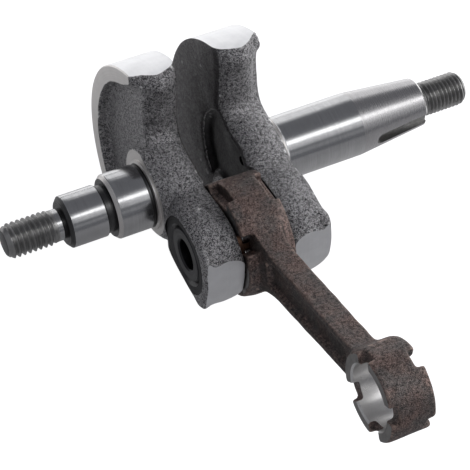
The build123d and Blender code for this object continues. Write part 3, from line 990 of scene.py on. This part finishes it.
# %% The rod's forging as a field, along -Y from the big end
def forged_rod():
    """The whole rod before grinding, lying along -Y with the big end at the origin."""
    block = Field((-BIG_HALF_WIDTH - 1.5, -ROD_LENGTH - SMALL_RADIUS - 2, -BIG_RADIUS - 2),
                  (BIG_HALF_WIDTH + 1.5, BIG_RADIUS + 2, BIG_RADIUS + 2))
    x, y, z = block.x, block.y, block.z
    side_view = outline_distance(both_edges(shank_edge), y[0], z[0])[None]
    shank = np.maximum(side_view, np.abs(x) - SHANK_HALF_WIDTH)
    panel_view = outline_distance(both_edges(panel_edge), y[0], z[0])[None]
    panel = np.maximum(panel_view - 0.45 * (np.abs(x) - SHANK_HALF_WIDTH),
                       SHANK_HALF_WIDTH - PANEL_DEPTH - np.abs(x))
    shank = np.maximum(shank, -panel)
    rod = smooth_union(shank, ring_field(block, BIG_RADIUS, BIG_HALF_WIDTH, 0.0, 0.5), 2.6)
    rod = smooth_union(rod, ring_field(block, SMALL_RADIUS, SMALL_HALF_WIDTH + 0.3, -ROD_LENGTH, 0.9), 2.2)
    # Each cut: side, angle, inner reach, depth, width, corner radius, and the eye that it is in.
    big_eye, small_eye = (0.0, BIG_HALF_WIDTH, BIG_RADIUS), (-ROD_LENGTH, SMALL_HALF_WIDTH, SMALL_RADIUS)
    cuts = [(side, angle, 10.0, 2.0, 8.5, 0.4, *big_eye)
            for side, angle in ((-1, 93), (1, 80), (-1, -93), (1, -80))]
    cuts += [(-1, 25, 8.0, 2.6, 4.2, 0.6, *big_eye)]
    cuts += [(side, angle, 5.5, 1.7, 3.9, 0.5, *small_eye)
             for side, angles in ((-1, (-155, -80, 8, 99)), (1, (68, -28, -115, 158))) for angle in angles]
    for cut in cuts:
        rod = np.maximum(rod, -slot_field(block, *cut))
    rod = blur(np.broadcast_to(rod, block.shape).copy(), ROD_BLUR)
    rod += waviness(block.shape, 1.4, 0.035, 5)
    return block.skin("connecting_rod_forging", rod, finishes["coppered"])


# %% Grind, bore and place the rod
def slab(name, low, high, finish):
    """A plain cutting block between two corners."""
    points = [(x, y, z) for x in (low[0], high[0]) for y in (low[1], high[1]) for z in (low[2], high[2])]
    faces = [(0, 1, 3, 2), (4, 6, 7, 5), (0, 4, 5, 1), (2, 3, 7, 6), (0, 2, 6, 4), (1, 5, 7, 3)]
    return outward(new_object(name, points, faces, [finish]))


def rod_trim():
    """The ground side faces: full width at the big end, less at the small end."""
    middle = -ROD_LENGTH + SMALL_RADIUS + 3.0
    big = slab("big_trim", (-BIG_HALF_WIDTH, middle, -20), (BIG_HALF_WIDTH, 20, 20), finishes["rod_face"])
    small = slab("small_trim", (-SMALL_HALF_WIDTH, -ROD_LENGTH - 20, -20), (SMALL_HALF_WIDTH, middle + 1, 20),
                 finishes["rod_face"])
    return work(big, small, "UNION")


def rod_bore(radius, half_width, centre_y, chamfer):
    """A bore with both mouths chamfered."""
    return turned("rod_bore", [
        (-half_width - 2, radius + chamfer, "rod_face"),
        (-half_width, radius + chamfer, "bore"),
        (-half_width + chamfer, radius, "bore"),
        (half_width - chamfer, radius, "bore"),
        (half_width, radius + chamfer, "rod_face"),
        (half_width + 2, radius + chamfer, "rod_face"),
    ], steps=160, centre=(centre_y, 0.0))


rod = forged_rod()
# Flat side faces, away from the small end, get the darker plating as painted shade.
rod.data.materials.append(finishes["stained"])
for face in rod.data.polygons:
    face.material_index = int(abs(face.normal.x) > 0.6 and face.center.y > (-ROD_LENGTH + SMALL_RADIUS) * MM)
work(rod, rod_trim(), "INTERSECT")
work(rod, rod_bore(BIG_BORE, BIG_HALF_WIDTH, 0.0, 0.3), "DIFFERENCE")
work(rod, rod_bore(SMALL_BORE, SMALL_HALF_WIDTH, -ROD_LENGTH, 0.4), "DIFFERENCE")
rod.data.transform(Matrix.Translation((0, -THROW * MM, 0)) @ Matrix.Rotation(-REST_ANGLE, 4, "X"))
shade(rod)
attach(rod, "rod")
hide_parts("connecting_rod")

# %% [markdown]
# ## Pin, cage and rollers
# The pin is hardened and pressed into both webs, and the rod rolls round it on needles that
# a bronze-coloured cage keeps apart. They could be modelled again, but they are simple turned
# pieces and the frame's own shapes are already right, so they only take their finishes.

# %% Finish the carried-over pieces
def refinish(name, finish):
    """Give a frame piece one finish on all its faces."""
    piece = frame["nodes"][name]
    piece.data.materials.clear()
    piece.data.materials.append(finish)


refinish("crankpin", finishes["pin"])
refinish("bearing_cage", finishes["cage"])
rollers = [name for name in frame["nodes"] if name.startswith("needle_roller")]
for name in rollers:
    refinish(name, finishes["roller"])
print("refinished", 2 + len(rollers), "pieces")

# %% [markdown]
# ## Stage, light and camera
# The part lies on a plain pale floor. Ground steel shows what stands around it, so the lights
# are laid out as a studio would. A long soft box in front and above draws one clean line down
# every cylinder, and it is split into strips so that the line fades at its edges. A bright
# wall behind lights the upper sides, a dim gap overhead gives the steel its dark band, and two
# small fills at the sides lift the ends. The camera sees an evenly white floor, and the metal
# sees one that brightens towards the back, as a lit paper sweep does.

# %% The pale floor
FLOOR_DROP = 1.0
HALF_FLOOR = 2500.0
floor_z = box_low[2] - FLOOR_DROP


def floor_finish():
    """Even and bright to the camera, and a sweep that brightens towards the back to the metal."""
    finish = bpy.data.materials.new("pale_floor")
    finish.use_nodes = True
    tree = finish.node_tree
    tree.nodes.clear()
    plain = node(tree, "ShaderNodeBsdfDiffuse", Color=(0.42, 0.42, 0.43, 1))
    glow = node(tree, "ShaderNodeEmission", Color=(1, 1, 1, 1), Strength=0.92)
    place = tree.nodes.new("ShaderNodeTexCoord").outputs["Object"]
    parts = node(tree, "ShaderNodeSeparateXYZ", Vector=place)
    reach = math_node(tree, "ADD", parts.outputs["Y"], math_node(tree, "MULTIPLY", parts.outputs["X"], 0.6))
    near = span(tree, reach, -0.05, 0.02, 0.06, 0.24)
    far = span(tree, reach, 0.03, 0.14, 0.0, 1.0)
    sweep = node(tree, "ShaderNodeEmission", Color=(1, 1, 1, 1), Strength=math_node(tree, "ADD", near, far))
    seen = node(tree, "ShaderNodeAddShader", i0=plain.outputs[0], i1=glow.outputs[0])
    felt = node(tree, "ShaderNodeAddShader", i0=plain.outputs[0], i1=sweep.outputs[0])
    to_camera = tree.nodes.new("ShaderNodeLightPath").outputs["Is Camera Ray"]
    choose = node(tree, "ShaderNodeMixShader", i0=to_camera, i1=felt.outputs[0], i2=seen.outputs[0])
    node(tree, "ShaderNodeOutputMaterial", Surface=choose.outputs[0])
    return finish


corners = [(x * HALF_FLOOR, y * HALF_FLOOR, floor_z) for x, y in ((-1, -1), (1, -1), (1, 1), (-1, 1))]
floor = new_object("floor", corners, [(0, 1, 2, 3)], [floor_finish()])
print("floor at", round(floor_z, 1), "mm")


# %% Soft boxes, placed by their angle round the shaft
centre = Vector((0.0, -0.02, 0.0))


def soft_box(name, from_angle, to_angle, distance, length, power, shift):
    """A long light that covers a range of angles seen from the shaft.

    Distance and length are in metres, and shift is how far it leans towards +X, from -1 to 1.
    """
    middle = math.radians((from_angle + to_angle) / 2)
    width = 2 * distance * math.tan(math.radians(abs(to_angle - from_angle)) / 2)
    lean = math.sqrt(1 - shift * shift)
    toward = Vector((shift, -math.cos(middle) * lean, math.sin(middle) * lean))
    lamp = bpy.data.lights.new(name, "AREA")
    lamp.shape = "RECTANGLE"
    lamp.size = length
    lamp.size_y = width
    lamp.energy = power * length * width * math.pi
    body = bpy.data.objects.new(name, lamp)
    bpy.context.scene.collection.objects.link(body)
    right = Vector((1, 0, 0)) - toward * toward.x
    right.normalize()
    turned_to = Matrix((right, toward.cross(right), toward)).transposed().to_4x4()
    body.matrix_world = Matrix.Translation(centre + toward * distance) @ turned_to
    body.visible_camera = False
    print(f"{name}: {length:.2f} x {width:.2f} m")


front_strips = ((14, 26, 0.15), (36, 46, 0.5), (46, 56, 0.6), (56, 68, 2.4), (68, 76, 0.3))
for from_angle, to_angle, power in front_strips:
    soft_box(f"front_box_{from_angle}", from_angle, to_angle, 0.8, 1.4, power, 0.42)
for from_angle, to_angle, power in ((140, 150, 0.45), (150, 178, 1.0)):
    soft_box(f"back_wall_{from_angle}", from_angle, to_angle, 0.9, 1.2, power, 0.5)
soft_box("left_fill", 30, 110, 0.7, 1.2, 0.1, -0.85)
soft_box("right_fill", 30, 80, 0.7, 0.6, 1.5, 0.94)

# %% The room: dim to the metal, white to the camera
world = bpy.data.worlds.new("studio")
bpy.context.scene.world = world
world.use_nodes = True
room = world.node_tree
backdrop = room.nodes["Background"]
backdrop.inputs["Color"].default_value = (0.9, 0.92, 1.0, 1)
to_camera = room.nodes.new("ShaderNodeLightPath").outputs["Is Camera Ray"]
strength = node(room, "ShaderNodeMapRange", Value=to_camera, To_Min=0.2, To_Max=1.1)
room.links.new(strength.outputs[0], backdrop.inputs["Strength"])
print("world", world.name)

# %% The camera
VIEW_AZIMUTH, VIEW_ELEVATION, VIEW_ROLL = 30.379, 51.585, 5.09
VIEW_PLACE = (-0.15294, -0.27471, 0.37465)
lens = bpy.data.cameras.new("view")
lens.lens = 166.44
lens.sensor_width = 36.0
lens.clip_start = 0.01
camera = bpy.data.objects.new("view", lens)
bpy.context.scene.collection.objects.link(camera)
camera.matrix_world = (Matrix.Translation(VIEW_PLACE)
                       @ Matrix.Rotation(math.radians(-VIEW_AZIMUTH), 4, "Z")
                       @ Matrix.Rotation(math.radians(90 - VIEW_ELEVATION), 4, "X")
                       @ Matrix.Rotation(math.radians(VIEW_ROLL), 4, "Z"))
bpy.context.scene.camera = camera
bpy.context.scene.view_settings.view_transform = "Standard"
print("camera", tuple(round(value, 3) for value in camera.location))
